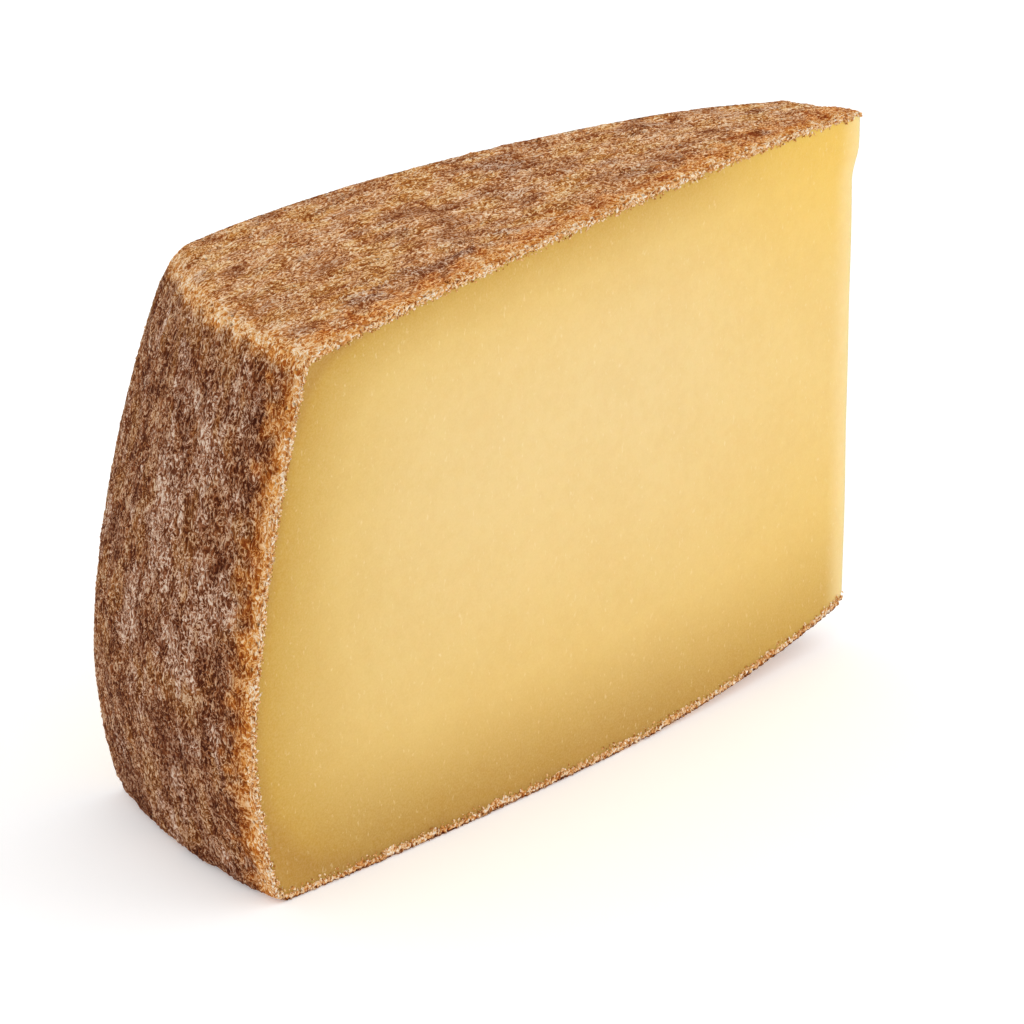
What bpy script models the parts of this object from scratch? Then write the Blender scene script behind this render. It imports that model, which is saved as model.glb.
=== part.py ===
"""A gruyere wedge: the rim end of a slice cut out of a wheel, standing as it stood in the wheel.

The rind covers the rim, the domed top and the base. The two long faces and the short inner end are
knife cuts. The body starts as a block whose sides are cut into rows, and every row is then carried
onto the wedge by formulas of the sizes below. Metres, +Z up, rim towards -X, base on z = 0.
"""
import bpy
import bmesh
import numpy as np

# Overall sizes
LENGTH = 0.165
HEIGHT = 0.115
RIM_WIDTH = 0.057
INNER_WIDTH = 0.012

# Cut faces: each one swells a little at mid length, and the inner end is cut askew
CUT_BULGE = 0.0036
INNER_SKEW = 0.0070
FAR_TIP_RADIUS = 0.0045
TIP_LIP = 0.0017
TIP_LIP_HEIGHT = 0.0155

# Top: highest near the inner end, falling towards the rim and a little towards the tip
DOME_FALL = 0.0075
DOME_PEAK = 0.125
TIP_FALL = 0.0020

# Base: flat from the rim to LIFT_START, then rising to the inner end
LIFT_START = 0.091
LIFT = 0.0075

# Rim: its belly stands furthest out, its shoulder and foot lie further in
BELLY = 0.30
SHOULDER_IN = 0.0140
FOOT_IN = 0.0055
SHOULDER_CURVE = 1.6
FOOT_CURVE = 1.75
FOOT_CENTRE = 0.019
SHOULDER_CENTRE = 0.0135
FOOT_ROUNDNESS = 4.4
SHOULDER_ROUNDNESS = 6.45

# Radii where the rind turns from one side to the next, at the near and at the far cut face
SHOULDER_RADIUS = (0.0021, 0.0074)
FOOT_RADIUS = (0.0026, 0.0050)
INNER_TOP_RADIUS = 0.0018
INNER_FOOT_RADIUS = 0.0035

# Middle of the wedge's own box along X, measured from the sharp corner of the rim
BOX_MIDDLE = 0.0823

# Crust relief
CRUST_HEIGHT = 0.00020
CRUST_WAVE = (0.009, 0.019)
CRUST_WAVES = 9
CRUST_SEED = 7
CRUST_CLEARANCE = 0.006
SKIN = 0.004

# Rows cut into the block: even steps, with closer rows where the corners are rounded
CORNER_ROWS = (0.0012, 0.0032, 0.0065, 0.0105)
STEP_ALONG = 0.0044
STEP_UP = 0.0044
STEP_ACROSS = 0.0048

RIND_COLOUR = (0.300, 0.130, 0.048, 1.0)
PASTE_COLOUR = (0.840, 0.600, 0.210, 1.0)


def smooth_step(value):
    """0 below 0, 1 above 1, with a level start and end."""
    held = np.clip(value, 0.0, 1.0)
    return held * held * (3.0 - 2.0 * held)


def half_width(along):
    """Half the distance between the cut faces: a straight taper plus a shallow bulge."""
    part = along / LENGTH
    taper = RIM_WIDTH * (1.0 - part) + INNER_WIDTH * part
    return taper / 2.0 + CUT_BULGE * 4.0 * part * (1.0 - part)


def top_height(along):
    """A dome in two parabolas that meet level at DOME_PEAK."""
    to_rim = np.clip((DOME_PEAK - along) / DOME_PEAK, 0.0, None)
    to_tip = np.clip((along - DOME_PEAK) / (LENGTH - DOME_PEAK), 0.0, None)
    return HEIGHT - DOME_FALL * to_rim ** 2 - TIP_FALL * to_tip ** 2


def base_height(along):
    """Level at zero up to LIFT_START, then a parabola up to LIFT at the inner end."""
    past = np.clip((along - LIFT_START) / (LENGTH - LIFT_START), 0.0, None)
    return LIFT * past ** 2


def rim_inset(across, up):
    """How far the rim lies in: a belly upright, and an arc in plan that tightens with height."""
    above = np.clip((up - BELLY) / (1.0 - BELLY), 0.0, None)
    below = np.clip((BELLY - up) / BELLY, 0.0, None)
    upright = SHOULDER_IN * above ** SHOULDER_CURVE + FOOT_IN * below ** FOOT_CURVE
    high = np.clip(up, 0.0, 1.0) ** 3
    roundness = FOOT_ROUNDNESS + (SHOULDER_ROUNDNESS - FOOT_ROUNDNESS) * high
    centre = FOOT_CENTRE + (SHOULDER_CENTRE - FOOT_CENTRE) * high
    return upright + roundness * ((across * RIM_WIDTH - centre) ** 2 - centre ** 2)


def round_corner(into_x, into_z, radius):
    """Pull the square corner |x|, |z| <= radius onto a quarter circle; other points stay."""
    inside = (into_x > 0.0) & (into_z > 0.0) & (radius > 0.0)
    reach = np.sqrt(into_x ** 2 + into_z ** 2) + 1e-12
    pull = np.where(inside, np.maximum(into_x, into_z) / reach, 1.0)
    return into_x * pull, into_z * pull


def round_profile(along, up, across):
    """Round the four corners of the LENGTH by HEIGHT profile, as the rind turns there."""
    far = across ** 3
    shoulder = SHOULDER_RADIUS[0] + (SHOULDER_RADIUS[1] - SHOULDER_RADIUS[0]) * far
    foot = FOOT_RADIUS[0] + (FOOT_RADIUS[1] - FOOT_RADIUS[0]) * far
    dx, dz = round_corner(shoulder - along, up - (HEIGHT - shoulder), shoulder)
    along, up = shoulder - dx, HEIGHT - shoulder + dz
    dx, dz = round_corner(foot - along, foot - up, foot)
    along, up = foot - dx, foot - dz
    radius = np.full_like(along, INNER_TOP_RADIUS)
    dx, dz = round_corner(along - (LENGTH - radius), up - (HEIGHT - radius), radius)
    along, up = LENGTH - radius + dx, HEIGHT - radius + dz
    radius = np.full_like(along, INNER_FOOT_RADIUS)
    dx, dz = round_corner(along - (LENGTH - radius), radius - up, radius)
    return LENGTH - radius + dx, radius - dz


def wedge_point(block):
    """Carry points of the unit block, columns (along, across, up), onto the smooth wedge."""
    across = block[:, 1]
    along, up = round_profile(block[:, 0] * LENGTH, block[:, 2] * HEIGHT, across)
    part = along / LENGTH
    share = up / HEIGHT
    lip = TIP_LIP * smooth_step(2.0 - 2.0 * (HEIGHT - up) / TIP_LIP_HEIGHT)
    end_shift = (lip - INNER_SKEW * across) * part ** 6
    x = along + rim_inset(across, share) * (1.0 - part) ** 3 + end_shift
    low = base_height(along)
    z = low + share * (top_height(along) - low)
    to_tip = np.clip(along - (LENGTH - FAR_TIP_RADIUS), 0.0, FAR_TIP_RADIUS)
    tip_round = FAR_TIP_RADIUS - np.sqrt(FAR_TIP_RADIUS ** 2 - to_tip ** 2)
    y = (2.0 * across - 1.0) * half_width(along) - across * tip_round
    return np.stack([x - BOX_MIDDLE, y, z], axis=1)


def crust_waves(points):
    """Sum of plane waves in seeded directions and lengths, about -1 to 1."""
    draw = np.random.default_rng(CRUST_SEED)
    total = np.zeros(len(points))
    for _ in range(CRUST_WAVES):
        direction = draw.normal(size=3)
        direction /= np.linalg.norm(direction)
        length = draw.uniform(*CRUST_WAVE)
        phase = draw.uniform(0.0, 2.0 * np.pi)
        total += np.sin(2.0 * np.pi * points @ direction / length + phase)
    return total / np.sqrt(CRUST_WAVES)


def add_crust(block, points):
    """Lift the rind along its outward direction in the X-Z plane, and leave the base flat."""
    inner = block.copy()
    inner[:, 0] = np.clip(block[:, 0], SKIN / LENGTH, 1.0)
    inner[:, 2] = np.clip(block[:, 2], SKIN / HEIGHT, 1.0 - SKIN / HEIGHT)
    outward = points - wedge_point(inner)
    outward[:, 1] = 0.0
    size = np.linalg.norm(outward, axis=1, keepdims=True)
    outward /= np.maximum(size, 1e-9)
    off_floor = smooth_step(points[:, 2] / CRUST_CLEARANCE - 1.0)
    skin_share = np.clip(size[:, 0] / (SKIN * 0.7), 0.0, 1.0)
    lift = CRUST_HEIGHT * crust_waves(points) * off_floor * skin_share
    return points + outward * lift[:, None]


def rows(span, step):
    """Inner row positions over a span, as fractions: corner rows at both ends, even between."""
    first = CORNER_ROWS[-1]
    count = max(2, round((span - 2.0 * first) / step))
    middle = np.linspace(first, span - first, count + 1)
    near = np.array(CORNER_ROWS[:-1])
    return np.concatenate([near, middle, span - near[::-1]]) / span


def cut_rows(body, axis, fractions):
    """Cut edges round the block's sides at each fraction of one axis."""
    for fraction in fractions:
        place = [0.0, 0.0, 0.0]
        normal = [0.0, 0.0, 0.0]
        place[axis] = float(fraction)
        normal[axis] = 1.0
        geometry = body.verts[:] + body.edges[:] + body.faces[:]
        bmesh.ops.bisect_plane(body, geom=geometry, dist=1e-7, plane_co=place, plane_no=normal)


def make_material(name, colour, roughness):
    material = bpy.data.materials.new(name)
    material.use_nodes = True
    shader = material.node_tree.nodes["Principled BSDF"]
    shader.inputs["Base Color"].default_value = colour
    shader.inputs["Roughness"].default_value = roughness
    shader.inputs["Metallic"].default_value = 0.0
    material.diffuse_color = colour
    return material


def make_wedge(collection):
    body = bmesh.new()
    bmesh.ops.create_cube(body, size=1.0)
    bmesh.ops.translate(body, verts=body.verts, vec=(0.5, 0.5, 0.5))
    cut_rows(body, 0, rows(LENGTH, STEP_ALONG))
    cut_rows(body, 1, np.linspace(0.0, 1.0, round(RIM_WIDTH / STEP_ACROSS) + 1)[1:-1])
    cut_rows(body, 2, rows(HEIGHT, STEP_UP))

    body.normal_update()
    for face in body.faces:
        is_cut = abs(face.normal.y) > 0.5 or face.normal.x > 0.5
        face.material_index = 1 if is_cut else 0
        face.smooth = True

    block = np.array([vert.co[:] for vert in body.verts], dtype=float)
    points = wedge_point(block)
    points = add_crust(block, points)
    for vert, point in zip(body.verts, points):
        vert.co = point

    mesh = bpy.data.meshes.new("gruyere_wedge")
    body.to_mesh(mesh)
    body.free()
    mesh.materials.append(make_material("gruyere_rind", RIND_COLOUR, 0.85))
    mesh.materials.append(make_material("gruyere_paste", PASTE_COLOUR, 0.45))
    mesh.set_sharp_from_angle(angle=np.radians(50.0))
    wedge = bpy.data.objects.new("gruyere_wedge", mesh)
    collection.objects.link(wedge)
    return wedge


for old in list(bpy.data.objects):
    bpy.data.objects.remove(old, do_unlink=True)

parts = bpy.data.collections.new("gruyere_wedge")
bpy.context.scene.collection.children.link(parts)
make_wedge(parts)
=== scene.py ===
"""A gruyere wedge dressed round its solid: the cut paste, the rind round it, and the crumbs of
the cut edge, standing in a plain studio.
"""
import math

import bpy
import numpy as np
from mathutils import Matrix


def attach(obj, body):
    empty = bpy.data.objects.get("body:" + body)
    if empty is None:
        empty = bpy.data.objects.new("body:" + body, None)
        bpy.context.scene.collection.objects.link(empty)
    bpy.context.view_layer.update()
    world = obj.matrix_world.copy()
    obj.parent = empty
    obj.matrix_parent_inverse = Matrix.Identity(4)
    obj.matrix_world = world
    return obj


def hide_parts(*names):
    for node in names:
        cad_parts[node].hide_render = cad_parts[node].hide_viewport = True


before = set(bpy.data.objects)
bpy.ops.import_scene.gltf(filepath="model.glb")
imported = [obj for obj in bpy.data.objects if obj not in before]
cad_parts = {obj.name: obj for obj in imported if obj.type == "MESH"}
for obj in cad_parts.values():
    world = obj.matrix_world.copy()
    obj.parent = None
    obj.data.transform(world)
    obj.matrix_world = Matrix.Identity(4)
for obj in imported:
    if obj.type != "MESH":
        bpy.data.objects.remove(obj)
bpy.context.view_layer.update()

# The paste
# The pale yellow inside of the cheese, dense and smooth. A wire cut it out of the wheel in two long
# faces and a short oblique end; next to the rind it has dried to a darker gold.

# Form of the solid, which the paste and its rind both follow, in metres
# The box round it, and the width between the cut faces with their bulge
LENGTH = 0.165
HEIGHT = 0.115
RIM_WIDTH = 0.057
INNER_WIDTH = 0.012
CUT_BULGE = 0.0036
# The origin lies this far in from where the rim would stand if it were upright
BOX_MIDDLE = 0.0823
# The oblique inner end, its rounded far edge, and the lip at its top
INNER_SKEW = 0.0070
FAR_TIP_RADIUS = 0.0045
TIP_LIP = 0.0017
TIP_LIP_HEIGHT = 0.0155
# The dome of the top, and the lift of the base towards the inner end
DOME_FALL = 0.0075
DOME_PEAK = 0.125
TIP_FALL = 0.0020
LIFT_START = 0.091
LIFT = 0.0075
# The rim stands out most at this share of its height, and falls back to shoulder and foot
BELLY = 0.30
SHOULDER_IN = 0.0140
FOOT_IN = 0.0055
SHOULDER_CURVE = 1.6
FOOT_CURVE = 1.75
# The arc of the rim seen from above, at its foot and its shoulder
FOOT_CENTRE = 0.019
SHOULDER_CENTRE = 0.0135
FOOT_ROUNDNESS = 4.4
SHOULDER_ROUNDNESS = 6.45
# Corners of the profile, at the near and the far cut face
SHOULDER_RADIUS = (0.0021, 0.0074)
FOOT_RADIUS = (0.0026, 0.0050)
INNER_TOP_RADIUS = 0.0018
INNER_FOOT_RADIUS = 0.0035

# The paste starts this far under the rind's skin, and its sharp edge at the tip is softened
PASTE_INSET = 0.00095
TIP_EDGE_RADIUS = 0.0012
TIP_EDGE_EASE = 0.7
# Waves of the wire: their height, and the metres per radian of the slanting and the level ones
WIRE_HEIGHT = 0.00006
SLANT_WAVE = (0.0031, 0.0173)
LEVEL_WAVE = (0.0094, 0.021)
# The golden border: how softly it fades, and the weight of the distance from base and top. The base's
# low weight widens the border along the base, partly as painted shade.
BORDER_SOFTNESS = 0.009
BASE_WEIGHT = 0.75
TOP_WEIGHT = 1.65


def smooth_step(value):
    """0 below 0, 1 above 1, and between them three times the square less twice the cube."""
    held = np.clip(value, 0.0, 1.0)
    return held * held * (3.0 - 2.0 * held)


def round_corner(into_x, into_z, radius):
    """Pull the square corner |x|, |z| <= radius onto a quarter circle; other points stay."""
    inside = (into_x > 0.0) & (into_z > 0.0) & (radius > 0.0)
    reach = np.sqrt(into_x ** 2 + into_z ** 2) + 1e-12
    pull = np.where(inside, np.maximum(into_x, into_z) / reach, 1.0)
    return into_x * pull, into_z * pull


def round_profile(along, up, across):
    """Round the four corners of the LENGTH by HEIGHT profile, as the rind turns there."""
    far = across ** 3
    shoulder = SHOULDER_RADIUS[0] + (SHOULDER_RADIUS[1] - SHOULDER_RADIUS[0]) * far
    foot = FOOT_RADIUS[0] + (FOOT_RADIUS[1] - FOOT_RADIUS[0]) * far
    dx, dz = round_corner(shoulder - along, up - (HEIGHT - shoulder), shoulder)
    along, up = shoulder - dx, HEIGHT - shoulder + dz
    dx, dz = round_corner(foot - along, foot - up, foot)
    along, up = foot - dx, foot - dz
    radius = np.full_like(along, INNER_TOP_RADIUS)
    dx, dz = round_corner(along - (LENGTH - radius), up - (HEIGHT - radius), radius)
    along, up = LENGTH - radius + dx, HEIGHT - radius + dz
    radius = np.full_like(along, INNER_FOOT_RADIUS)
    dx, dz = round_corner(along - (LENGTH - radius), radius - up, radius)
    return LENGTH - radius + dx, radius - dz


def half_width(along):
    """Half the distance between the cut faces: a straight taper plus a shallow bulge."""
    part = along / LENGTH
    taper = RIM_WIDTH * (1.0 - part) + INNER_WIDTH * part
    return taper / 2.0 + CUT_BULGE * 4.0 * part * (1.0 - part)


def wedge_point(along, across, up):
    """Points of the wedge from three shares, 0 to 1: along from the rim, across from the near cut
    face, and up from the base. A rounded rectangle gets the rim's belly and arc, the dome of the
    top, the lift of the base, and the width between the cut faces.
    """
    along, across, up = np.broadcast_arrays(along, across, up)
    along, up = round_profile(along * LENGTH, up * HEIGHT, across)
    part = along / LENGTH
    share = up / HEIGHT

    above = np.clip((share - BELLY) / (1.0 - BELLY), 0.0, None)
    below = np.clip((BELLY - share) / BELLY, 0.0, None)
    upright = SHOULDER_IN * above ** SHOULDER_CURVE + FOOT_IN * below ** FOOT_CURVE
    high_up = np.clip(share, 0.0, 1.0) ** 3
    roundness = FOOT_ROUNDNESS + (SHOULDER_ROUNDNESS - FOOT_ROUNDNESS) * high_up
    centre = FOOT_CENTRE + (SHOULDER_CENTRE - FOOT_CENTRE) * high_up
    rim_inset = upright + roundness * ((across * RIM_WIDTH - centre) ** 2 - centre ** 2)

    lip = TIP_LIP * smooth_step(2.0 - 2.0 * (HEIGHT - up) / TIP_LIP_HEIGHT)
    end_shift = (lip - INNER_SKEW * across) * part ** 6
    x = along + rim_inset * (1.0 - part) ** 3 + end_shift

    to_rim = np.clip((DOME_PEAK - along) / DOME_PEAK, 0.0, None)
    to_tip = np.clip((along - DOME_PEAK) / (LENGTH - DOME_PEAK), 0.0, None)
    high = HEIGHT - DOME_FALL * to_rim ** 2 - TIP_FALL * to_tip ** 2
    past = np.clip((along - LIFT_START) / (LENGTH - LIFT_START), 0.0, None)
    low = LIFT * past ** 2
    z = low + share * (high - low)

    round_start = LENGTH - FAR_TIP_RADIUS
    into_round = np.clip(along - round_start, 0.0, FAR_TIP_RADIUS)
    tip_round = FAR_TIP_RADIUS - np.sqrt(FAR_TIP_RADIUS ** 2 - into_round ** 2)
    y = (2.0 * across - 1.0) * half_width(along) - across * tip_round
    return np.stack([x - BOX_MIDDLE, y, z], axis=-1)


def box_surface(counts):
    """Lattice points on the surface of a box, and its outward quads, for counts along x, y, z."""
    nx, ny, nz = counts
    i, j, k = np.meshgrid(np.arange(nx), np.arange(ny), np.arange(nz), indexing="ij")
    on_side = (i == 0) | (i == nx - 1) | (j == 0) | (j == ny - 1) | (k == 0) | (k == nz - 1)
    number = np.full(counts, -1)
    number[on_side] = np.arange(on_side.sum())
    sides = [
        (number[:, 0, :], True), (number[:, -1, :], False),
        (number[:, :, -1], True), (number[:, :, 0], False),
        (number[-1, :, :], True), (number[0, :, :], False),
    ]
    quads = []
    for side, forward in sides:
        corners = [side[:-1, :-1], side[1:, :-1], side[1:, 1:], side[:-1, 1:]]
        if not forward:
            corners.reverse()
        quads.append(np.stack(corners, axis=-1).reshape(-1, 4))
    return i[on_side], j[on_side], k[on_side], np.concatenate(quads)


def spaced(span, start, end, step, edge_rows):
    """Places from start to end, close together at the given distances from both ends."""
    rows = np.array(edge_rows)
    count = max(2, int(round((end - start - 2.0 * rows[-1]) / step)))
    middle = np.linspace(start + rows[-1], end - rows[-1], count + 1)
    return np.concatenate([start + rows[:-1], middle, (end - rows[:-1])[::-1]]) / span


def make_mesh(name, points, even_faces, longer_faces=()):
    """A smooth mesh from an array of points, an array of faces with as many corners each, and a
    few longer faces.
    """
    mesh = bpy.data.meshes.new(name)
    if len(longer_faces):
        faces = even_faces.tolist() + list(longer_faces)
        mesh.from_pydata(points.tolist(), [], faces)
    else:
        mesh.vertices.add(len(points))
        mesh.vertices.foreach_set("co", points.astype(np.float32).ravel())
        mesh.loops.add(even_faces.size)
        mesh.loops.foreach_set("vertex_index", even_faces.astype(np.int32).ravel())
        mesh.polygons.add(len(even_faces))
        starts = np.arange(0, even_faces.size, even_faces.shape[1], dtype=np.int32)
        mesh.polygons.foreach_set("loop_start", starts)
        mesh.update(calc_edges=True)
    mesh.shade_smooth()
    # The longer faces stay flat, so that they don't bend the shading beside them
    for face in mesh.polygons[len(even_faces):]:
        face.use_smooth = False
    piece = bpy.data.objects.new(name, mesh)
    bpy.context.scene.collection.objects.link(piece)
    return piece


def store(piece, name, values):
    """Keep one number for each vertex, for the material to read by name."""
    attribute = piece.data.attributes.new(name, "FLOAT", "POINT")
    attribute.data.foreach_set("value", np.asarray(values, dtype=np.float32).ravel())


def edge_fall(into):
    """How far a quarter circle of TIP_EDGE_RADIUS falls back at a distance into the edge."""
    return TIP_EDGE_RADIUS - np.sqrt(TIP_EDGE_RADIUS ** 2 - into ** 2)


PASTE_STEP = 0.0014
EDGE_ROWS = (0.0, 0.0003, 0.0006, 0.0009, 0.0013, 0.002)
paste_x = spaced(LENGTH, PASTE_INSET, LENGTH, PASTE_STEP, EDGE_ROWS)
paste_y = spaced(1.0, 0.0, 1.0, 0.045, (0.0, 0.01, 0.03, 0.06))
paste_z = spaced(HEIGHT, PASTE_INSET, HEIGHT - PASTE_INSET, PASTE_STEP, EDGE_ROWS)
ix, iy, iz, paste_quads = box_surface((len(paste_x), len(paste_y), len(paste_z)))
share_x, share_y, share_z = paste_x[ix], paste_y[iy], paste_z[iz]
paste_points = wedge_point(share_x, share_y, share_z)

# Soften the sharp edge between the near cut face and the inner end
half = half_width(share_x * LENGTH)
from_near = share_y * 2.0 * half
from_end = (1.0 - share_x) * LENGTH
edge_y = np.clip(TIP_EDGE_RADIUS - from_near, 0.0, None)
edge_x = np.clip(TIP_EDGE_RADIUS - from_end, 0.0, None)
paste_points[:, 0] -= np.where(from_end < 1e-6, edge_fall(edge_y), 0.0) * TIP_EDGE_EASE
paste_points[:, 1] += np.where(from_near < 1e-6, edge_fall(edge_x), 0.0) * TIP_EDGE_EASE

# Faint waves left by the wire on both cut faces
slant = paste_points[:, 0] * 0.9 + paste_points[:, 2] * 0.5
slanting = np.sin(slant / SLANT_WAVE[0] + 2.0 * np.sin(slant / SLANT_WAVE[1]))
level = np.sin(paste_points[:, 2] / LEVEL_WAVE[0] + slant / LEVEL_WAVE[1])
drag = slanting + 0.8 * level
side = 2.0 * share_y - 1.0
paste_points[:, 1] += WIRE_HEIGHT * drag * side ** 5

paste = make_mesh("paste", paste_points, paste_quads)
# Nearest rind, with soft corners: the logarithm of a sum of falling exponentials of the distances
rind_sum = np.exp(-share_x * LENGTH / BORDER_SOFTNESS)
rind_sum += np.exp(-share_z * HEIGHT * BASE_WEIGHT / BORDER_SOFTNESS)
rind_sum += np.exp(-(1.0 - share_z) * HEIGHT * TOP_WEIGHT / BORDER_SOFTNESS)
rind_distance = np.clip(-BORDER_SOFTNESS * np.log(rind_sum + 1e-9), 0.0, None)
store(paste, "rind_distance", rind_distance)
store(paste, "from_rim", share_x)
store(paste, "height_share", share_z)


def srgb(red, green, blue):
    """A colour as it is seen, 0 to 255, as the linear colour that a shader takes."""
    seen = np.array([red, green, blue]) / 255.0
    linear = np.where(seen <= 0.04045, seen / 12.92, ((seen + 0.055) / 1.055) ** 2.4)
    return (*[float(part) for part in linear], 1.0)


class Nodes:
    """Short ways to add and join the nodes of one material."""

    def __init__(self, name):
        """A new material, with its tree and its shader at hand."""
        self.material = bpy.data.materials.new(name)
        self.material.use_nodes = True
        self.tree = self.material.node_tree
        self.shader = self.tree.nodes["Principled BSDF"]

    def add(self, kind, **settings):
        """A new node with its settings."""
        node = self.tree.nodes.new(kind)
        for setting, value in settings.items():
            setattr(node, setting, value)
        return node

    def join(self, source, target):
        """A link from an output to an input."""
        self.tree.links.new(source, target)

    def put(self, socket, value):
        """Join an output to a socket, or set a plain value on it."""
        if isinstance(value, bpy.types.NodeSocket):
            self.join(value, socket)
        else:
            socket.default_value = value

    def kept(self, name):
        """The vertex number stored under a name."""
        return self.add("ShaderNodeAttribute", attribute_name=name).outputs["Fac"]

    def place(self, scale=(1.0, 1.0, 1.0), turn=(0.0, 0.0, 0.0)):
        """Object coordinates, turned and scaled."""
        coordinates = self.add("ShaderNodeTexCoord").outputs["Object"]
        mapping = self.add("ShaderNodeMapping")
        self.join(coordinates, mapping.inputs["Vector"])
        mapping.inputs["Scale"].default_value = scale
        mapping.inputs["Rotation"].default_value = turn
        return mapping.outputs["Vector"]

    def noise(self, vector, scale, detail=3.0, rough=0.55, warp=0.0):
        """Fractal noise, 0 to 1, with its middle at 0.5."""
        node = self.add("ShaderNodeTexNoise")
        self.join(vector, node.inputs["Vector"])
        node.inputs["Scale"].default_value = scale
        node.inputs["Detail"].default_value = detail
        node.inputs["Roughness"].default_value = rough
        node.inputs["Distortion"].default_value = warp
        return node.outputs["Fac"]

    def maths(self, operation, first, second=0.0, clamp=False):
        """The result of one operation on two values, sockets or numbers."""
        node = self.add("ShaderNodeMath", operation=operation, use_clamp=clamp)
        self.put(node.inputs[0], first)
        self.put(node.inputs[1], second)
        return node.outputs[0]

    def span(self, value, low, high, to_low=0.0, to_high=1.0):
        """Carry low..high onto to_low..to_high, smoothly, and hold it there."""
        node = self.add("ShaderNodeMapRange", interpolation_type="SMOOTHSTEP", clamp=True)
        self.put(node.inputs["Value"], value)
        sockets = ("From Min", "From Max", "To Min", "To Max")
        for socket, number in zip(sockets, (low, high, to_low, to_high)):
            node.inputs[socket].default_value = number
        return node.outputs["Result"]

    def ramp(self, value, stops):
        """Colours along a value: stops are pairs of place and colour."""
        node = self.add("ShaderNodeValToRGB")
        self.put(node.inputs["Fac"], value)
        points = node.color_ramp.elements
        while len(points) < len(stops):
            points.new(0.5)
        for point, (where, colour) in zip(points, stops):
            point.position = where
            point.color = colour
        return node.outputs["Color"]

    def mix(self, share, first, second, blend="MIX"):
        """The first colour where the share is 0, the second where it is 1."""
        node = self.add("ShaderNodeMix", data_type="RGBA", blend_type=blend)
        # The colour sockets of this node share their names with others, so they go by number
        self.put(node.inputs[0], share)
        self.put(node.inputs[6], first)
        self.put(node.inputs[7], second)
        return node.outputs[2]

    def tint(self, colour, filter_colour):
        """A colour times a filter's colour."""
        return self.mix(1.0, colour, filter_colour, "MULTIPLY")

    def bump(self, height, distance, strength=1.0, below=None):
        """A normal tilted by a height in metres, over the one below."""
        node = self.add("ShaderNodeBump")
        self.put(node.inputs["Height"], height)
        node.inputs["Distance"].default_value = distance
        node.inputs["Strength"].default_value = strength
        if below is not None:
            self.join(below, node.inputs["Normal"])
        return node.outputs["Normal"]


def paste_material():
    """Pale yellow, golden and then brownish towards the rind, with painted shade duller near the base
    and faintly darker towards the rim end, warmer by the tip with a painted highlight paler along
    its edge, a faint haze, a fine grain and short pale streaks.
    """
    m = Nodes("cut_paste")
    plain = m.place()
    depth = m.kept("rind_distance")
    cloud = m.noise(plain, 38.0, 2.0)
    shifted = m.maths("ADD", depth, m.maths("MULTIPLY", m.maths("SUBTRACT", cloud, 0.5), 0.005))
    body = m.ramp(m.maths("DIVIDE", shifted, 0.060), [
        (0.0, srgb(188, 138, 40)),
        (0.05, srgb(204, 158, 56)),
        (0.16, srgb(217, 176, 86)),
        (0.33, srgb(230, 193, 111)),
        (0.60, srgb(235, 201, 128)),
        (1.0, srgb(236, 205, 139)),
    ])
    # Painted shade: the paste duller and greyer near the base, less so beside the rim
    painted_base_shade = m.span(m.kept("height_share"), 0.0, 0.24, 0.85, 0.0)
    painted_base_shade = m.maths("MULTIPLY", painted_base_shade, m.span(m.kept("from_rim"), 0.0, 0.18, 0.15, 1.0))
    body = m.mix(painted_base_shade, body, m.tint(body, srgb(226, 220, 214)))
    warm = m.span(m.kept("from_rim"), 0.60, 1.0)
    warm = m.maths("MULTIPLY", warm, m.span(m.kept("height_share"), 0.50, 1.0, 0.30, 0.85))
    body = m.mix(warm, body, srgb(241, 196, 74))
    # Painted highlight: the paste paler along the edge of the inner end
    body = m.mix(m.span(m.kept("from_rim"), 0.955, 1.0, 0.0, 0.75), body, srgb(249, 224, 160))
    # Painted shade: the paste a little darker towards the rim end
    painted_rim_end_shade = m.span(m.kept("from_rim"), 0.05, 0.50, 1.0, 0.0)
    body = m.mix(painted_rim_end_shade, body, m.tint(body, srgb(250, 251, 252)))
    haze = m.maths("ADD", m.noise(plain, 70.0, 3.0, 0.65), m.noise(plain, 420.0, 3.0, 0.6))
    haze = m.span(haze, 0.80, 1.25, 0.0, 0.40)
    body = m.mix(haze, body, m.tint(body, srgb(248, 242, 230)))
    grain = m.noise(plain, 2600.0, 2.0)
    body = m.mix(m.span(grain, 0.3, 0.7, 0.0, 0.10), body, srgb(255, 232, 176))
    streaks = m.noise(m.place((1500.0, 1500.0, 700.0), (0.0, 0.6, 0.0)), 1.0, 2.0)
    body = m.mix(m.span(streaks, 0.62, 0.78, 0.0, 0.28), body, srgb(255, 236, 186))
    m.put(m.shader.inputs["Base Color"], body)
    m.put(m.shader.inputs["Roughness"], m.span(grain, 0.3, 0.7, 0.42, 0.56))
    m.shader.inputs["Subsurface Weight"].default_value = 0.25
    m.shader.inputs["Subsurface Radius"].default_value = (1.0, 0.55, 0.2)
    m.shader.inputs["Subsurface Scale"].default_value = 0.003
    m.shader.inputs["Specular IOR Level"].default_value = 0.35
    fine = m.bump(grain, 0.00005, 0.5)
    normal = m.bump(streaks, 0.00006, 0.5, fine)
    m.put(m.shader.inputs["Normal"], normal)
    return m.material


paste.data.materials.append(paste_material())
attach(paste, "root")
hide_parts("gruyere_wedge")

# The rind
# The wheel's own crust, grown while it was washed and turned: a dry brown skin of worm-like ridges
# with a dusty bloom on the rim. It is one with the paste and runs over the base, the rim and the top.

# Depth of the crust on the cut faces, at the rim, the top and the base
CRUST_DEPTH = (0.0013, 0.0016, 0.0020)
# The base's crust meets the rim's at this share of the length
SEAM = 0.036
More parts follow.
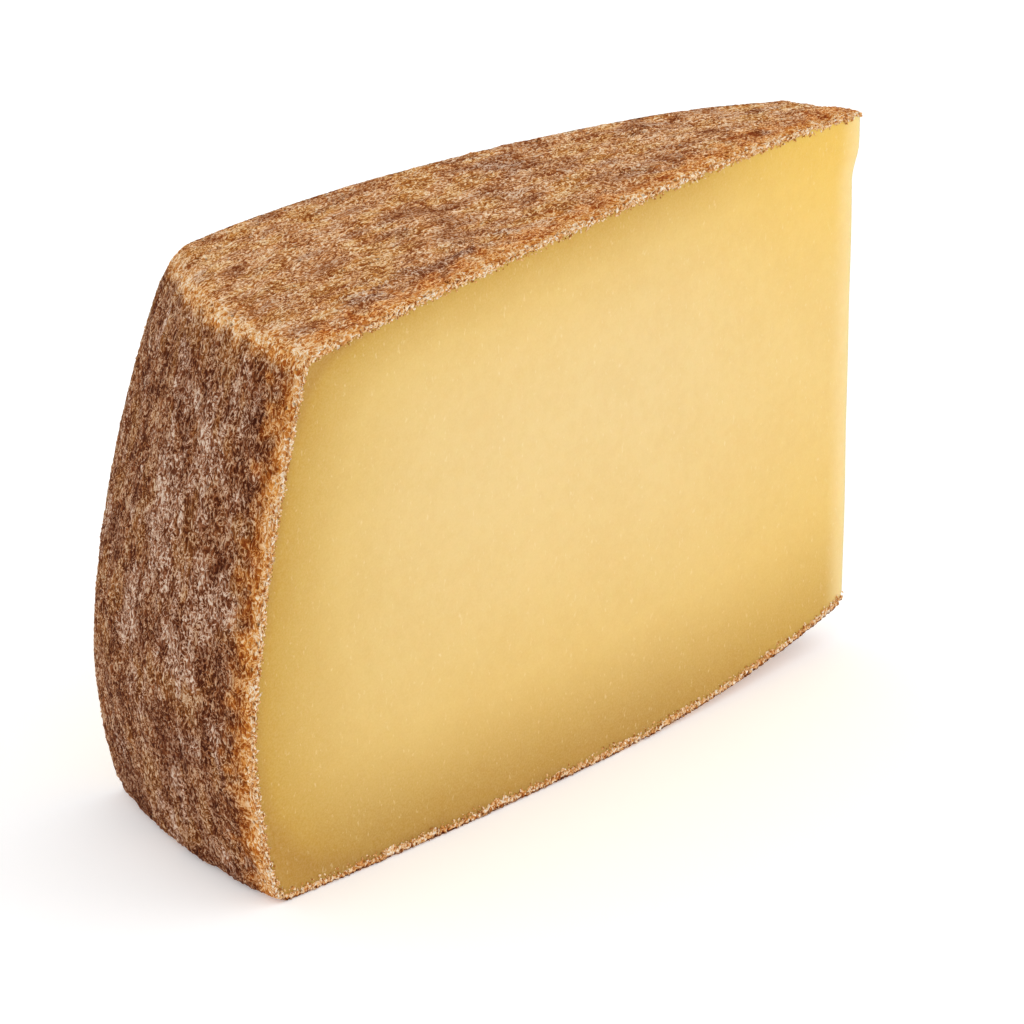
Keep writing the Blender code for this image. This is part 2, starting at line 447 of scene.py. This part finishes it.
# Rows of points along the base, round its foot, up the rim and along the top, and across
BASE_ROWS = 380
FOOT_ROWS = 22
RIM_ROWS = 400
TOP_ROWS = 420
FINE_ACROSS = 204
COARSE_ACROSS = 58
# The skin unrolled is a map of cells this wide, down the profile and across
MAP_STEP = 0.00015
MAP_SHAPE = (3100, 460)
# Relief of the skin, in metres: heights, the depth of a pit, the fall at the cut, and its limits
RIDGE_HEIGHT = 0.00010
SWELL_HEIGHT = 0.00008
LUMP_HEIGHT = 0.00012
CRUMBLE_HEIGHT = 0.00008
PIT_DEPTH = 0.00036
CUT_FALL = 0.00030
CUT_FALL_WIDTH = 0.0009
RELIEF_LIMITS = (-0.00042, 0.0005)
BASE_SINK = 0.00012
# Relief of the section on the cut faces: its swelling, and its grain
SECTION_SWELL = 0.00016
SECTION_GRAIN = 0.00013


def noise_map(wave, spread, stretch, seed):
    """White noise filtered round one wavelength; stretch lengthens it along the first axis."""
    draw = np.random.default_rng(seed)
    spectrum = np.fft.rfft2(draw.standard_normal(MAP_SHAPE))
    down = np.fft.fftfreq(MAP_SHAPE[0], MAP_STEP)[:, None] * stretch
    right = np.fft.rfftfreq(MAP_SHAPE[1], MAP_STEP)[None, :]
    frequency = np.hypot(down, right) + 1e-6
    spectrum *= np.exp(-0.5 * (np.log(frequency * wave) / spread) ** 2)
    field = np.fft.irfft2(spectrum, MAP_SHAPE)
    return field / field.std()


def read_map(field, down, right):
    """The map's value at distances in metres, blended between its four nearest cells."""
    i = down / MAP_STEP
    j = right / MAP_STEP
    i0 = np.floor(i).astype(int)
    j0 = np.floor(j).astype(int)
    fi = i - i0
    fj = j - j0
    rows, columns = field.shape
    i0, i1 = i0 % rows, (i0 + 1) % rows
    j0, j1 = j0 % columns, (j0 + 1) % columns
    first = field[i0, j0] * (1 - fj) + field[i0, j1] * fj
    second = field[i1, j0] * (1 - fj) + field[i1, j1] * fj
    return first * (1 - fi) + second * fi


def unit(vectors):
    """Vectors divided by their lengths."""
    return vectors / np.maximum(np.linalg.norm(vectors, axis=-1, keepdims=True), 1e-12)


# Rows round the profile: along the base from the inner end, up the rim, and back along the top
base_x = np.linspace(1.0, SEAM, BASE_ROWS)
foot_x = np.linspace(SEAM, 0.0, FOOT_ROWS)[1:]
rim_z = np.linspace(0.0, 1.0, RIM_ROWS)[1:]
top_x = np.linspace(0.0, 1.0, TOP_ROWS)[1:]
row_x = np.concatenate([base_x, foot_x, np.zeros(len(rim_z)), top_x])
row_z = np.concatenate([np.zeros(len(base_x) + len(foot_x)), rim_z, np.ones(len(top_x))])
seam_row = len(base_x) - 1
foot_row = len(base_x) + len(foot_x) - 1
shoulder_row = foot_row + len(rim_z)
# Distance along the profile, halfway between the cut faces
middle = wedge_point(row_x, 0.5, row_z)
path = np.concatenate([[0.0], np.cumsum(np.linalg.norm(np.diff(middle, axis=0), axis=1))])
foot_path = path[foot_row]
shoulder_path = path[shoulder_row]

# Maps of the skin, each with its wavelength in metres, spread, stretch along the profile and seed.
# Ridges on the rim run up and down, those on the top have less of a direction.
rim_worms = noise_map(0.00250, 0.42, 2.0, 11)
top_worms = noise_map(0.00225, 0.44, 1.6, 12)
rim_curls = noise_map(0.00105, 0.38, 1.7, 13)
top_curls = noise_map(0.00095, 0.40, 1.3, 14)
grain = noise_map(0.00055, 0.30, 1.0, 15)
swells = noise_map(0.0060, 0.40, 1.2, 16)
lumps = noise_map(0.0150, 0.35, 1.0, 17)
pit_seeds = noise_map(0.0016, 0.25, 1.3, 18)
edge_wander = noise_map(0.0070, 0.45, 1.0, 19)
broad_patches = noise_map(0.0200, 0.45, 1.4, 21)
small_patches = noise_map(0.0062, 0.40, 2.6, 22)
broad_bloom = noise_map(0.0170, 0.45, 2.0, 23)
small_bloom = noise_map(0.0048, 0.45, 2.6, 24)
# Maps of the section: its grain on each cut face, and how its depth varies
section_grain = (noise_map(0.00120, 0.35, 1.0, 31), noise_map(0.00120, 0.35, 1.0, 32))
fringe = noise_map(0.0015, 0.40, 1.0, 33)
slow_depth = noise_map(0.0090, 0.50, 1.0, 34)

# Rows of points into the section, as shares of its depth, and how proud each one stands
WALL_STEPS = np.array([0.12, 0.28, 0.45, 0.62, 0.78, 0.90, 1.0])
WALL_RISE = np.array([0.7, 1.0, 1.1, 1.0, 0.6, -0.2, -1.6])


def skin_fields(rows, across):
    """Skin points and their look: ridges, pits, patches and bloom, read from the unrolled maps."""
    share_x = row_x[rows, None]
    # One row more at both ends, so that two stretches agree where they meet
    wider = np.clip(np.arange(rows[0] - 1, rows[-1] + 2), 0, len(row_x) - 1)
    skin = wedge_point(row_x[wider, None], across[None, :], row_z[wider, None])
    outward = unit(np.cross(np.gradient(skin, axis=0), np.gradient(skin, axis=1)))[1:-1]
    skin = skin[1:-1]
    down = np.broadcast_to(path[rows, None], skin.shape[:2])
    right = skin[..., 1] + 0.03
    # The top begins 3 mm before the shoulder's middle, and the base ends 2 mm past the foot's
    on_top = smooth_step((down - shoulder_path + 0.003) / 0.008)
    on_base = 1.0 - smooth_step((down - foot_path + 0.004) / 0.006)

    def rim_to_top(rim_map, top_map):
        """One map's value on the rim, passing into the other's on the top."""
        on_rim = read_map(rim_map, down, right) * (1.0 - on_top)
        return on_rim + read_map(top_map, down, right) * on_top

    worms = rim_to_top(rim_worms, top_worms)
    curls = rim_to_top(rim_curls, top_curls)
    fine = read_map(grain, down, right)
    # A ridge follows each zero line of the worms, broken up by the curls
    crest = 2.2 * np.exp(-(worms / 0.5) ** 2) * smooth_step((curls + 1.2) / 1.9) - 0.55
    crest += 0.38 * np.tanh(1.3 * curls) + 0.30 * fine
    swell = read_map(swells, down, right)
    lump = read_map(lumps, down, right)

    # Beside the cuts: a fresh paler band, a crumbly border and a warm glow, fainter at the far cut
    to_cut = np.minimum(across, 1.0 - across)[None, :] * 2.0 * half_width(share_x * LENGTH)
    wander = read_map(edge_wander, down, right)
    near_share = 1.0 - 0.75 * smooth_step((across[None, :] - 0.3) / 0.4)
    rim_share = (down - foot_path) / (shoulder_path - foot_path)
    low_down = 1.0 - smooth_step(rim_share / 0.3)
    fresh_width = (0.0011 - 0.0004 * on_top + 0.0018 * low_down) * near_share
    fresh = 1.0 - smooth_step((to_cut - fresh_width + 0.0005 * wander) / (0.0018 * near_share))
    fresh = fresh * (near_share - 0.15)
    crumbly = 1.0 - smooth_step((to_cut - 0.0001 + 0.0004 * wander) / (0.0012 - 0.0003 * on_top))
    crumbly = crumbly * (near_share - 0.15) * (0.9 - 0.35 * on_top)
    glow = (1.0 - smooth_step((to_cut - 0.0024 + 0.0014 * wander) / 0.0052)) * (near_share - 0.22)
    # Pits where their map peaks, and a pale band along the corner between the rim and the top
    pit_level = read_map(pit_seeds, down, right) + 0.45 * fresh * near_share
    pits = smooth_step((pit_level - 2.05) / 0.5)
    corner = np.exp(-((down - shoulder_path - 0.0002 + 0.0006 * wander) / 0.0022) ** 2)
    corner = corner * smooth_step(1.3 - 0.7 * across[None, :])

    relief = RIDGE_HEIGHT * (1.0 - 0.30 * on_top) * crest + SWELL_HEIGHT * swell
    relief = relief + LUMP_HEIGHT * lump - PIT_DEPTH * pits
    relief += CRUMBLE_HEIGHT * crumbly * fine
    relief -= CUT_FALL * (1.0 - smooth_step(to_cut / CUT_FALL_WIDTH))
    relief = np.clip(relief, *RELIEF_LIMITS)
    relief = np.where(on_base > 0.5, np.minimum(relief, 0.0) - BASE_SINK, relief)
    points = skin + outward * relief[..., None]
    points[..., 2] = np.maximum(points[..., 2], 0.0)

    # Patches, with painted shade darker towards the foot of the rim, and lighter where the top starts
    # behind the shoulder
    patch_and_painted_shade = read_map(broad_patches, down, right) + 0.90 * read_map(small_patches, down, right)
    patch_and_painted_shade -= 0.9 * (1.0 - smooth_step(rim_share / 0.4))
    patch_and_painted_shade += 1.3 * on_top * np.exp(-np.clip(down - shoulder_path, 0.0, None) / 0.016)
    bloom = read_map(broad_bloom, down, right) + 0.8 * read_map(small_bloom, down, right)
    # The bloom is thickest halfway across the rim, a little above its middle
    middle_band = np.exp(-((rim_share - 0.62) / 0.36) ** 2)
    middle_band = middle_band * np.exp(-((across[None, :] - 0.45) / 0.34) ** 2)
    dust = smooth_step((bloom + 2.9 * middle_band - 1.2) / 2.1) * (1.0 - 0.5 * on_top)
    # On the top the bloom gathers in flecks along the near cut face
    flecks = np.exp(-((across[None, :] - 0.17) / 0.13) ** 2)
    flecks = flecks * smooth_step((bloom + 0.5 * curls - 0.2) / 1.6)
    dust = np.maximum(dust, 0.8 * on_top * flecks)
    looks = {
        "ridge": crest,
        "pits": pits,
        "patch_and_painted_shade": patch_and_painted_shade,
        "dust": dust * (1.0 - 0.8 * fresh),
        "fresh": np.maximum(fresh, corner),
        "glow": np.maximum(glow, 0.9 * corner),
        "crumbly": np.maximum(crumbly, 0.45 * corner),
        "on_top": on_top,
    }
    return points, looks


def cut_section(rows, side):
    """The crust's crumbly section on one cut face, from its skin inwards, and its crumb height. Its
    depth varies with two maps, and each row stands proud by its rise plus the grain.
    """
    away = 2.0 * side - 1.0
    along = path[rows]
    lane = np.full_like(along, 0.01 + 0.02 * side)
    ragged = 0.16 + 0.14 * (row_x[rows] < 0.01)
    depth_share = 1.0 + 0.13 * read_map(slow_depth, along, lane)
    depth_share = depth_share + ragged * read_map(fringe, along, lane)
    steps = np.clip(depth_share, 0.78, 1.8)[:, None] * WALL_STEPS[None, :]
    share_x = np.clip(row_x[rows, None], steps * CRUST_DEPTH[0] / LENGTH, 1.0)
    low = steps * CRUST_DEPTH[2] / HEIGHT
    high = 1.0 - steps * CRUST_DEPTH[1] / HEIGHT
    points = wedge_point(share_x, side, np.clip(row_z[rows, None], low, high))
    down = np.broadcast_to(along[:, None], steps.shape)
    crumb = read_map(section_grain[int(side)], down, 0.01 + steps * CRUST_DEPTH[2])
    proud = SECTION_SWELL * WALL_RISE[None, :] + SECTION_GRAIN * crumb
    points[..., 1] += away * (1.0 - 0.65 * side) * proud
    return points, crumb


def build_rind(name, rows, across):
    """One stretch of crust as a closed tube: skin, far section, hidden inner face, near section."""
    skin, looks = skin_fields(rows, across)
    near, near_crumb = cut_section(rows, 0.0)
    far, far_crumb = cut_section(rows, 1.0)
    # The skin's edges follow the grain of the section below them
    skin[:, 0, 1] -= 0.00006 + 0.00007 * near_crumb[:, 0]
    skin[:, -1, 1] += 0.00002 + 0.00002 * far_crumb[:, 0]
    share = np.array([0.66, 0.33])[None, :, None]
    inner = near[:, -1:, :] * (1.0 - share) + far[:, -1:, :] * share
    ring = np.concatenate([skin, far, inner, near[:, ::-1]], axis=1)
    count, around = ring.shape[:2]
    number = np.arange(count * around).reshape(count, around)
    joined = np.concatenate([number, number[:, :1]], axis=1)
    quads = np.stack([joined[:-1, :-1], joined[1:, :-1], joined[1:, 1:], joined[:-1, 1:]], axis=-1)
    ends = [number[0].tolist(), number[-1, ::-1].tolist()]
    piece = make_mesh(name, ring.reshape(-1, 3), quads.reshape(-1, 4), ends)
    near_crumb = near_crumb[:, ::-1]
    # Looks of the section, on the far and on the near cut face
    on_section = {
        "ridge": (1.1 * far_crumb, 1.1 * near_crumb),
        "pits": (smooth_step((-far_crumb - 1.6) / 0.6), smooth_step((-near_crumb - 1.6) / 0.6)),
        "fresh": (np.full_like(far_crumb, 0.25), np.ones_like(far_crumb)),
        "glow": (np.full_like(far_crumb, 0.2), np.ones_like(far_crumb)),
        "crumbly": (np.full_like(far_crumb, 0.2), np.ones_like(far_crumb)),
        "on_top": (np.repeat(looks["on_top"][:, -1:], far_crumb.shape[1], axis=1),
                   np.repeat(looks["on_top"][:, :1], far_crumb.shape[1], axis=1)),
    }
    hidden = np.zeros((count, 2))
    nothing = np.zeros_like(far_crumb)
    # The lowest part of the section over the base keeps the brown of the skin
    over_base = (row_z[rows] < 0.5) & (row_x[rows] > 0.0)
    underside = over_base[:, None] & (WALL_STEPS < 0.3)[None, :]
    for look in ("fresh", "glow", "crumbly"):
        far_values, near_values = on_section[look]
        near_values[underside[:, ::-1]] = 0.0
        far_values[underside] = 0.0
    for look, values in looks.items():
        far_values, near_values = on_section.get(look, (nothing, nothing))
        store(piece, look, np.concatenate([values, far_values, hidden, near_values], axis=1))
    return piece


def rind_material():
    """Brown crust, paler tan on the top, partly as painted light; darker in the gaps and lighter on the
    ridges, partly as painted shade and highlight; ochre and dark patches, with painted shade towards
    the foot of the rim; a dusty bloom; pits in painted shade; and paler orange crust beside the cuts
    and along the corner of the rim.
    """
    m = Nodes("brown_rind")
    plain = m.place()
    on_top_here = m.kept("on_top")
    off_top = m.maths("SUBTRACT", 1.0, on_top_here)
    fresh_here = m.kept("fresh")
    patch_and_shade_here = m.kept("patch_and_painted_shade")

    # Thin light fibres on the middle value of a warped noise, upright on the rim, lengthways on top
    upright = m.noise(m.place((1.0, 1.0, 0.60)), 690.0, 2.0, 0.55, 1.6)
    lengthways = m.noise(m.place((0.62, 1.0, 1.0)), 700.0, 2.0, 0.55, 1.6)
    mixed = m.maths("MULTIPLY", upright, off_top)
    mixed = m.maths("ADD", mixed, m.maths("MULTIPLY", lengthways, on_top_here))
    fibre = m.span(m.maths("ABSOLUTE", m.maths("SUBTRACT", mixed, 0.5)), 0.0, 0.075, 1.0, 0.0)
    speck = m.noise(plain, 2100.0, 3.0, 0.65)
    cloud = m.noise(plain, 210.0, 2.0, 0.6)
    # Lightness about 0.5: the ridges, and what fibres, specks and clouds have above their average. The
    # ridges' share is partly painted highlight on the ridges and painted shade in the gaps
    level = m.maths("MULTIPLY", m.kept("ridge"), 0.62)
    for part, average, weight in ((fibre, 0.42, 2.0), (speck, 0.5, 3.4), (cloud, 0.5, 3.0)):
        above = m.maths("SUBTRACT", part, average)
        level = m.maths("ADD", level, m.maths("MULTIPLY", above, weight))
    contrast = m.maths("SUBTRACT", 0.335, m.maths("MULTIPLY", fresh_here, 0.06))
    level = m.maths("ADD", m.maths("MULTIPLY", level, contrast), 0.52, clamp=True)
    stops = (0.03, 0.31, 0.50, 0.69, 0.97)

    def palette(*colours):
        """Five colours along the lightness, from the darkest gaps to the lightest ridges."""
        return m.ramp(level, [(stop, srgb(*colour)) for stop, colour in zip(stops, colours)])

    brown = palette((68, 25, 5), (113, 58, 26), (145, 86, 49), (173, 120, 81), (208, 172, 140))
    dusty = palette((88, 41, 17), (143, 88, 57), (179, 131, 99), (206, 168, 140), (231, 208, 188))
    tan_and_painted_top_light = palette((130, 64, 24), (186, 120, 65), (216, 154, 98), (231, 180, 126), (248, 220, 188))
    ochre = palette((142, 74, 20), (194, 127, 56), (217, 157, 87), (232, 183, 118), (250, 223, 180))
    orange = palette((164, 80, 18), (212, 137, 58), (230, 168, 92), (241, 195, 134), (253, 229, 196))
    cream = palette((152, 76, 26), (216, 148, 80), (238, 189, 130), (248, 217, 174), (255, 242, 224))

    # The top's tan is lighter than the rim's brown, partly the crust's own colour and partly painted
    # light: the top lit from above, the rim in shade
    colour = m.mix(on_top_here, brown, tan_and_painted_top_light)
    ochre_share = m.span(on_top_here, 0.0, 1.0, 0.18, 0.75)
    ochre_share = m.maths("MULTIPLY", m.span(patch_and_shade_here, 0.1, 1.6), ochre_share)
    colour = m.mix(ochre_share, colour, ochre)
    # Dark patches, which also carry the painted shade towards the foot of the rim
    dark = m.span(patch_and_shade_here, -2.2, -0.3, 0.60, 0.0)
    colour = m.mix(dark, colour, m.tint(colour, srgb(190, 164, 156)))
    colour = m.mix(m.kept("dust"), colour, dusty)
    warm = m.tint(m.mix(0.6, colour, orange), srgb(255, 222, 168))
    colour = m.mix(m.maths("MULTIPLY", m.kept("glow"), 0.85), colour, warm)
    colour = m.mix(fresh_here, colour, orange)
    colour = m.mix(m.kept("crumbly"), colour, cream)
    # Painted shade: the pits darkened to a deep brown
    colour = m.mix(m.maths("MULTIPLY", m.kept("pits"), 0.78), colour, srgb(92, 42, 12))
    m.put(m.shader.inputs["Base Color"], colour)
    m.put(m.shader.inputs["Roughness"], m.span(level, 0.0, 1.0, 0.92, 0.70))
    m.shader.inputs["Specular IOR Level"].default_value = 0.10
    grit = m.bump(speck, 0.00014, 0.8)
    normal = m.bump(fibre, 0.00010, 0.7, grit)
    m.put(m.shader.inputs["Normal"], normal)
    return m.material


def rows_across(first, count):
    """Shares of the width: five close to each cut edge, and an even count from first metres in."""
    edge = np.array([0.0, 0.00018, 0.0004, 0.00065, 0.0009]) / RIM_WIDTH
    first = first / RIM_WIDTH
    return np.concatenate([edge, np.linspace(first, 1.0 - first, count), 1.0 - edge[::-1]])


# One crust in three stretches, which share a row of points where they meet
fine_across = rows_across(0.0011, FINE_ACROSS)
coarse_across = rows_across(0.0015, COARSE_ACROSS)
rind_finish = rind_material()
rind_stretches = (
    ("rind_base", np.arange(0, seam_row + 1), coarse_across),
    ("rind_rim", np.arange(seam_row, shoulder_row + 1), fine_across),
    ("rind_top", np.arange(shoulder_row, len(row_x)), fine_across),
)
for rind_name, rind_rows, rind_across in rind_stretches:
    rind = build_rind(rind_name, rind_rows, rind_across)
    rind.data.materials.append(rind_finish)
    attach(rind, "root")
    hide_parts("gruyere_wedge")

# Crumbs of the cut edge
# Where the wire broke through the dry crust it left loose pale crumbs along the section. They stick
# to the edge of the paste and to the crust beside it.

CRUMBS = 2600
# Radius of the smallest and the largest crumb, in metres
CRUMB_SIZE = (0.00012, 0.00031)
CRUMB_CORNERS = 12
# Share of the crumbs that lie on the near cut face
NEAR_CRUMBS = 0.78


def crumb_form():
    """An icosahedron of unit radius: twelve corners from the golden ratio, and its faces."""
    golden = (1.0 + math.sqrt(5.0)) / 2.0
    corners = []
    for a in (-1.0, 1.0):
        for b in (-golden, golden):
            corners += [(0.0, a, b), (a, b, 0.0), (b, 0.0, a)]
    corners = np.array(corners) / math.hypot(1.0, golden)
    near = np.linalg.norm(corners[:, None] - corners[None, :], axis=-1) < 1.2
    faces = []
    for i in range(CRUMB_CORNERS):
        for j in range(i + 1, CRUMB_CORNERS):
            for k in range(j + 1, CRUMB_CORNERS):
                if near[i, j] and near[j, k] and near[i, k]:
                    normal = np.cross(corners[j] - corners[i], corners[k] - corners[i])
                    outward = np.dot(normal, corners[i]) > 0.0
                    faces.append((i, j, k) if outward else (i, k, j))
    return corners, np.array(faces)


draw = np.random.default_rng(41)
form, form_faces = crumb_form()
crumb_side = (draw.uniform(0.0, 1.0, CRUMBS) > NEAR_CRUMBS).astype(int)
# Evenly along the section, except at the top of the inner end
crumb_chance = np.gradient(path) * ((row_x < 0.985) | (row_z < 0.5))
crumb_row = draw.choice(len(row_x), CRUMBS, p=crumb_chance / crumb_chance.sum())
in_share = draw.normal(0.82, 0.28, CRUMBS).clip(0.12, 1.35)
crumb_x = np.clip(row_x[crumb_row], in_share * CRUST_DEPTH[0] / LENGTH, 0.999)
crumb_low = in_share * CRUST_DEPTH[2] / HEIGHT
crumb_high = 1.0 - in_share * CRUST_DEPTH[1] / HEIGHT
crumb_z = np.clip(row_z[crumb_row], crumb_low, crumb_high)
centre = wedge_point(crumb_x, crumb_side.astype(float), crumb_z)
# Small crumbs are the most common, and those beside the skin stand the most proud
size = draw.uniform(0.0, 1.0, CRUMBS) ** 1.6 * (CRUMB_SIZE[1] - CRUMB_SIZE[0]) + CRUMB_SIZE[0]
proud = 0.12 * size + 0.00016 * (1.0 - smooth_step(in_share - 0.35))
centre[:, 1] += (2 * crumb_side - 1) * proud
# Each crumb is the icosahedron with uneven corners, stretched, turned and moved to its place
turns, _ = np.linalg.qr(draw.normal(size=(CRUMBS, 3, 3)))
turns *= np.sign(np.linalg.det(turns))[:, None, None]
stretch = draw.uniform(0.55, 0.95, (CRUMBS, 1, 3))
stretch[:, :, 0] *= draw.uniform(1.1, 2.1, (CRUMBS, 1))
uneven = draw.uniform(0.78, 1.2, (CRUMBS, CRUMB_CORNERS, 1))
crumb_points = (form[None] * uneven * stretch) @ turns * size[:, None, None] + centre[:, None, :]
crumb_points[..., 2] = np.maximum(crumb_points[..., 2], 0.0)
crumb_faces = form_faces[None] + CRUMB_CORNERS * np.arange(CRUMBS)[:, None, None]
crumbs = make_mesh("cut_edge_crumbs", crumb_points.reshape(-1, 3), crumb_faces.reshape(-1, 3))
store(crumbs, "shade", np.repeat(draw.uniform(0.0, 1.0, CRUMBS), CRUMB_CORNERS))


def crumb_material():
    """Pale orange to nearly white, each crumb its own shade."""
    m = Nodes("edge_crumb")
    speck = m.noise(m.place(), 2600.0, 2.0)
    spread = m.maths("MULTIPLY", m.maths("SUBTRACT", speck, 0.5), 0.6)
    shade = m.maths("ADD", m.kept("shade"), spread)
    colour = m.ramp(shade, [
        (0.0, srgb(156, 90, 34)),
        (0.35, srgb(214, 152, 80)),
        (0.7, srgb(238, 194, 134)),
        (1.0, srgb(252, 232, 200)),
    ])
    m.put(m.shader.inputs["Base Color"], colour)
    m.shader.inputs["Roughness"].default_value = 0.7
    m.shader.inputs["Specular IOR Level"].default_value = 0.16
    m.put(m.shader.inputs["Normal"], m.bump(speck, 0.0001, 0.6))
    return m.material


crumbs.data.materials.append(crumb_material())
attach(crumbs, "root")

# The studio
# A pale floor that runs on as the background, one large soft lamp from the right, and light all
# round. The camera looks down at the corner between rim and near cut face through a long lens.

FLOOR_SIZE = 6.0
floor_mesh = bpy.data.meshes.new("floor")
reach = FLOOR_SIZE / 2.0
floor_corners = [(-reach, -reach, 0.0), (reach, -reach, 0.0), (reach, reach, 0.0), (-reach, reach, 0.0)]
floor_mesh.from_pydata(floor_corners, [], [(0, 1, 2, 3)])
floor = bpy.data.objects.new("floor", floor_mesh)
bpy.context.scene.collection.objects.link(floor)
floor_finish = Nodes("pale_floor")
floor_finish.shader.inputs["Base Color"].default_value = (0.91, 0.91, 0.91, 1.0)
floor_finish.shader.inputs["Emission Color"].default_value = (1.0, 1.0, 1.0, 1.0)
floor_finish.shader.inputs["Emission Strength"].default_value = 0.25
floor_finish.shader.inputs["Roughness"].default_value = 0.9
floor_finish.shader.inputs["Specular IOR Level"].default_value = 0.1
floor_mesh.materials.append(floor_finish.material)

world = bpy.data.worlds.new("soft_light")
bpy.context.scene.world = world
world.use_nodes = True
sky = world.node_tree.nodes["Background"]
sky.inputs["Color"].default_value = (1.0, 1.0, 1.0, 1.0)
sky.inputs["Strength"].default_value = 0.94


def soft_lamp(name, place, target, size, power):
    """A square area lamp at a place, turned to face a target."""
    data = bpy.data.lights.new(name, "AREA")
    data.shape = "SQUARE"
    data.size = size
    data.energy = power
    lamp = bpy.data.objects.new(name, data)
    bpy.context.scene.collection.objects.link(lamp)
    direction = np.array(target) - np.array(place)
    lamp.location = place
    flat = math.hypot(direction[0], direction[1])
    lamp.rotation_euler = (math.atan2(flat, -direction[2]), 0.0, math.atan2(-direction[0], direction[1]))
    return lamp


soft_lamp("key", place=(0.75, -0.55, 0.95), target=(0.02, 0.0, 0.05), size=0.9, power=1.5)

# The camera stands 1.15 m away, looks 38.7 degrees to the right of +Y and 24 degrees down
VIEW_AZIMUTH = math.radians(-38.7)
VIEW_ELEVATION = math.radians(24.0)
CAMERA_PLACE = (-0.6585, -0.8238, 0.5178)
FOCAL_PIXELS = 6000.0
IMAGE_PIXELS = 1024.0
SENSOR = 36.0
camera_data = bpy.data.cameras.new("camera")
camera_data.sensor_width = SENSOR
camera_data.lens = FOCAL_PIXELS / IMAGE_PIXELS * SENSOR
camera_data.clip_start = 0.05
camera = bpy.data.objects.new("camera", camera_data)
camera.location = CAMERA_PLACE
camera.rotation_euler = (math.pi / 2.0 - VIEW_ELEVATION, 0.0, VIEW_AZIMUTH)
bpy.context.scene.collection.objects.link(camera)
bpy.context.scene.camera = camera
bpy.context.scene.view_settings.view_transform = "Standard"
